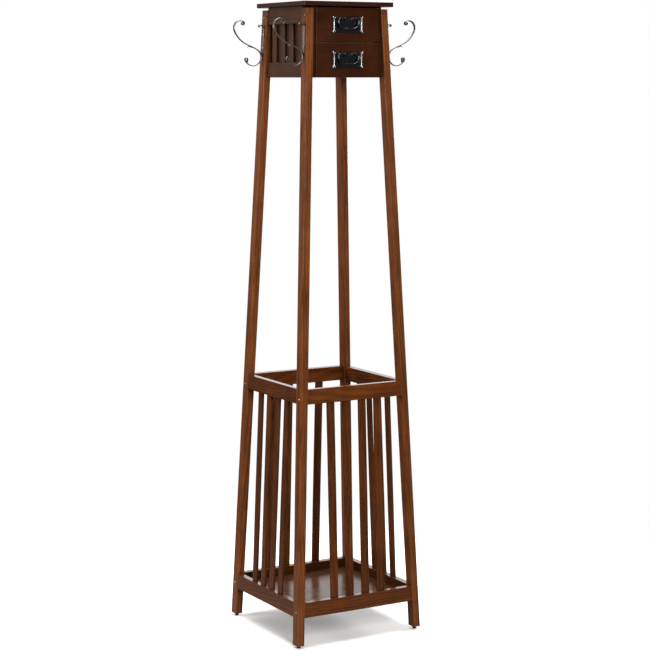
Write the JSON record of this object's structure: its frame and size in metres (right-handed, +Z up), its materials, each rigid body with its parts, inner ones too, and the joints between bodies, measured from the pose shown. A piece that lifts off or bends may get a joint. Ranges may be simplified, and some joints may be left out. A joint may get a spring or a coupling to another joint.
{
  "type": "hall tree with hooks",
  "caption": "Tall hall tree: four leaning wooden legs, slatted umbrella cage, small case with two drawers, and scroll coat hooks on the legs.",
  "frame": {"origin": "on the floor, at the centre of the footprint", "axes": "+Z up, +X to the viewer's right, drawers open towards -Y"},
  "size_m": [0.4616, 0.4146, 1.829],
  "materials": {
    "frame_wood": "satin lacquer over medium-dark brown stain",
    "top_wood": "satin lacquer over medium-dark brown stain",
    "drawer_front_wood": "satin lacquer over dark brown stain",
    "case_panel_wood": "thin stained plywood",
    "inner_wood": "plain sanded wood, lightly sealed",
    "shelf_wood": "glossy lacquered board",
    "hook_iron": "antique pewter, worn",
    "hook_screw_steel": "dark antique",
    "frame_screw_bronze": "antique bronze",
    "pull_black": "glossy black",
    "pull_screw_steel": "zinc plated",
    "glide_plastic": "matte black"
  },
  "bodies": {
    "frame": {"bottom_rail_back": "frame_wood", "bottom_rail_front": "frame_wood", "bottom_rail_left": "frame_wood", "bottom_rail_right": "frame_wood", "bottom_shelf": "shelf_wood", "cage_slats_back": "frame_wood", "cage_slats_front": "frame_wood", "cage_slats_left": "frame_wood", "cage_slats_right": "frame_wood", "case_back_panel": "case_panel_wood", "case_floor": "inner_wood", "case_liner_left": "case_panel_wood", "case_liner_right": "case_panel_wood", "case_lower_rail_left": "frame_wood", "case_lower_rail_right": "frame_wood", "case_post_back_left": "frame_wood", "case_post_back_right": "frame_wood", "case_post_front_left": "frame_wood", "case_post_front_right": "frame_wood", "case_slats_left": "frame_wood", "case_slats_right": "frame_wood", "case_upper_rail_left": "frame_wood", "case_upper_rail_right": "frame_wood", "drawer_divider": "inner_wood", "frame_screws": "frame_screw_bronze", "glides": "glide_plastic", "hook_back_left": "hook_iron", "hook_back_right": "hook_iron", "hook_front_left": "hook_iron", "hook_front_right": "hook_iron", "hook_screws": "hook_screw_steel", "leg_back_left": "frame_wood", "leg_back_right": "frame_wood", "leg_front_left": "frame_wood", "leg_front_right": "frame_wood", "lower_drawer_guides": "inner_wood", "mid_rail_back": "frame_wood", "mid_rail_front": "frame_wood", "mid_rail_left": "frame_wood", "mid_rail_right": "frame_wood", "shelf_cleats": "inner_wood", "top_board": "top_wood", "upper_drawer_guides": "inner_wood"},
    "upper_drawer": {"upper_drawer_back": "inner_wood", "upper_drawer_bottom": "inner_wood", "upper_drawer_front": "drawer_front_wood", "upper_drawer_side_left": "inner_wood", "upper_drawer_side_right": "inner_wood", "upper_pull_plate": "pull_black", "upper_pull_screws": "pull_screw_steel"},
    "lower_drawer": {"lower_drawer_back": "inner_wood", "lower_drawer_bottom": "inner_wood", "lower_drawer_front": "drawer_front_wood", "lower_drawer_side_left": "inner_wood", "lower_drawer_side_right": "inner_wood", "lower_pull_plate": "pull_black", "lower_pull_screws": "pull_screw_steel"},
    "upper_bail": {"upper_pull_bail": "pull_black"},
    "lower_bail": {"lower_pull_bail": "pull_black"}
  },
  "joints": [
    {"name": "upper_drawer_slide", "type": "slide", "parent": "frame", "child": "upper_drawer", "axis": [0, -1, 0], "range_m": [0, 0.15]},
    {"name": "lower_drawer_slide", "type": "slide", "parent": "frame", "child": "lower_drawer", "axis": [0, -1, 0], "range_m": [0, 0.15]},
    {"name": "upper_bail_swing", "type": "hinge", "parent": "upper_drawer", "child": "upper_bail", "pos_m": [0, -0.1375, 1.78087], "axis": [-1, 0, 0], "range_deg": [0, 90]},
    {"name": "lower_bail_swing", "type": "hinge", "parent": "lower_drawer", "child": "lower_bail", "pos_m": [0, -0.1375, 1.68263], "axis": [-1, 0, 0], "range_deg": [0, 90]}
  ]
}
